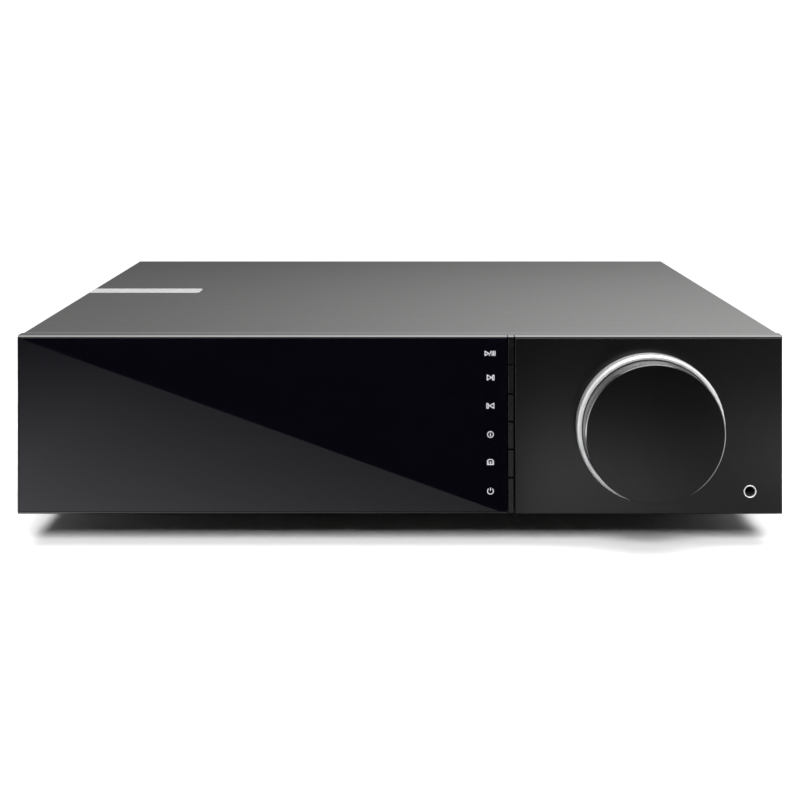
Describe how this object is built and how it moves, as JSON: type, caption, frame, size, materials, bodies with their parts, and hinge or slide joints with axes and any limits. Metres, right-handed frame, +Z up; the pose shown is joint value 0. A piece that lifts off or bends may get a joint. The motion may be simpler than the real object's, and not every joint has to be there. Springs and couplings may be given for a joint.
{
  "type": "desktop streaming DAC amplifier",
  "caption": "Half-width desktop streaming DAC and amplifier with a black glass front, a slim key column, a large volume knob with a bright outer ring and a headphone socket.",
  "frame": {"origin": "centre of the footprint's bounding box, on the surface the feet stand on", "axes": "+Z up, -Y is the front with the glass and knob, +X is to the right seen from the front"},
  "size_m": [0.317, 0.352, 0.089],
  "materials": {
    "dark_anodised": "fine bead-blasted, dark grey anodised",
    "bright_aluminium": "fine satin, bright",
    "black_glass": "gloss, printed black behind",
    "knob_black": "spun satin, black",
    "knob_grey": "fine turned lines, mid grey",
    "composite": "fluted, matt black composite",
    "black_sheet": "fine textured powder coat",
    "key_plastic": "satin black",
    "zinc_steel": "zinc plated",
    "black_screw": "black oxide",
    "magnet": "nickel plated",
    "rubber": "matt",
    "foot_plastic": "fine texture",
    "black_plastic": "matt",
    "gold": "gold plated",
    "cap_red": "clear red",
    "cap_black": "black",
    "circuit_board": "solder resist",
    "chip_black": "moulded",
    "white_plastic": "translucent white",
    "display": "gloss, unlit",
    "ferrite": "sintered core with taped winding",
    "capacitor": "sleeved can",
    "heatsink": "black anodised",
    "cable": "flat cable"
  },
  "bodies": {
    "unit": {"amplifier_board": "circuit_board", "amplifier_heatsink": "heatsink", "antenna_sockets": "gold", "badge_strip": "bright_aluminium", "base_chassis": "black_sheet", "board_chips": "chip_black", "board_standoffs": "zinc_steel", "display_board": "circuit_board", "display_module": "display", "encoder_body": "zinc_steel", "encoder_nut": "zinc_steel", "ethernet_socket": "zinc_steel", "feet": "foot_plastic", "foot_pads": "rubber", "front_frame": "dark_anodised", "front_glass": "black_glass", "front_io_board": "circuit_board", "hdmi_socket": "zinc_steel", "headphone_jack": "black_plastic", "headphone_ring": "bright_aluminium", "icon_light_guide": "white_plastic", "key_board": "circuit_board", "key_switches": "black_plastic", "knob_panel": "dark_anodised", "machine_screws": "black_screw", "main_board": "circuit_board", "mains_inlet": "black_plastic", "optical_sockets": "black_plastic", "power_board": "circuit_board", "power_capacitors": "capacitor", "power_switch": "black_plastic", "power_transformer": "ferrite", "rca_sockets": "gold", "rear_panel": "black_sheet", "ribbon_cable": "cable", "side_magnets": "magnet", "speaker_bases": "black_plastic", "speaker_posts": "gold", "streaming_module": "zinc_steel", "top_cover": "dark_anodised", "usb_sockets": "zinc_steel"},
    "volume_knob": {"volume_knob": "knob_grey", "knob_face": "knob_black", "encoder_inner_shaft": "zinc_steel"},
    "source_ring": {"source_ring": "bright_aluminium", "ring_hub": "black_plastic", "encoder_outer_shaft": "zinc_steel"},
    "key_power": {"key_power": "key_plastic"},
    "key_source": {"key_source": "key_plastic"},
    "key_info": {"key_info": "key_plastic"},
    "key_previous": {"key_previous": "key_plastic"},
    "key_next": {"key_next": "key_plastic"},
    "key_play": {"key_play": "key_plastic"},
    "power_rocker": {"power_rocker": "black_plastic"},
    "post_cap_left_positive": {"post_cap_left_positive": "cap_red"},
    "post_cap_left_negative": {"post_cap_left_negative": "cap_black"},
    "post_cap_right_positive": {"post_cap_right_positive": "cap_red"},
    "post_cap_right_negative": {"post_cap_right_negative": "cap_black"},
    "side_panel_left": {"side_panel_left": "composite"},
    "side_panel_right": {"side_panel_right": "composite"}
  },
  "joints": [
    {"name": "volume_knob_turn", "type": "hinge", "parent": "unit", "child": "volume_knob", "pos_m": [0.1032, -0.166, 0.0515], "axis": [0, 1, 0], "continuous": true},
    {"name": "source_ring_turn", "type": "hinge", "parent": "unit", "child": "source_ring", "pos_m": [0.1032, -0.162, 0.0515], "axis": [0, 1, 0], "continuous": true},
    {"name": "key_power_press", "type": "slide", "parent": "unit", "child": "key_power", "axis": [0, 1, 0], "range_m": [0, 0.0005], "stiffness_N_per_m": 2000},
    {"name": "key_source_press", "type": "slide", "parent": "unit", "child": "key_source", "axis": [0, 1, 0], "range_m": [0, 0.0005], "stiffness_N_per_m": 2000},
    {"name": "key_info_press", "type": "slide", "parent": "unit", "child": "key_info", "axis": [0, 1, 0], "range_m": [0, 0.0005], "stiffness_N_per_m": 2000},
    {"name": "key_previous_press", "type": "slide", "parent": "unit", "child": "key_previous", "axis": [0, 1, 0], "range_m": [0, 0.0005], "stiffness_N_per_m": 2000},
    {"name": "key_next_press", "type": "slide", "parent": "unit", "child": "key_next", "axis": [0, 1, 0], "range_m": [0, 0.0005], "stiffness_N_per_m": 2000},
    {"name": "key_play_press", "type": "slide", "parent": "unit", "child": "key_play", "axis": [0, 1, 0], "range_m": [0, 0.0005], "stiffness_N_per_m": 2000},
    {"name": "power_rocker_tilt", "type": "hinge", "parent": "unit", "child": "power_rocker", "pos_m": [-0.124, 0.154, 0.064], "axis": [1, 0, 0], "range_deg": [0, 18]},
    {"name": "post_cap_left_positive_turn", "type": "hinge", "parent": "unit", "child": "post_cap_left_positive", "pos_m": [-0.086, 0.166, 0.036], "axis": [0, -1, 0], "range_deg": [0, 1080]},
    {"name": "post_cap_left_negative_turn", "type": "hinge", "parent": "unit", "child": "post_cap_left_negative", "pos_m": [-0.067, 0.166, 0.036], "axis": [0, -1, 0], "range_deg": [0, 1080]},
    {"name": "post_cap_right_positive_turn", "type": "hinge", "parent": "unit", "child": "post_cap_right_positive", "pos_m": [-0.042, 0.166, 0.036], "axis": [0, -1, 0], "range_deg": [0, 1080]},
    {"name": "post_cap_right_negative_turn", "type": "hinge", "parent": "unit", "child": "post_cap_right_negative", "pos_m": [-0.023, 0.166, 0.036], "axis": [0, -1, 0], "range_deg": [0, 1080]},
    {"name": "side_panel_left_pull", "type": "slide", "parent": "unit", "child": "side_panel_left", "axis": [-1, 0, 0], "range_m": [0, 0.02]},
    {"name": "side_panel_right_pull", "type": "slide", "parent": "unit", "child": "side_panel_right", "axis": [1, 0, 0], "range_m": [0, 0.02]}
  ]
}
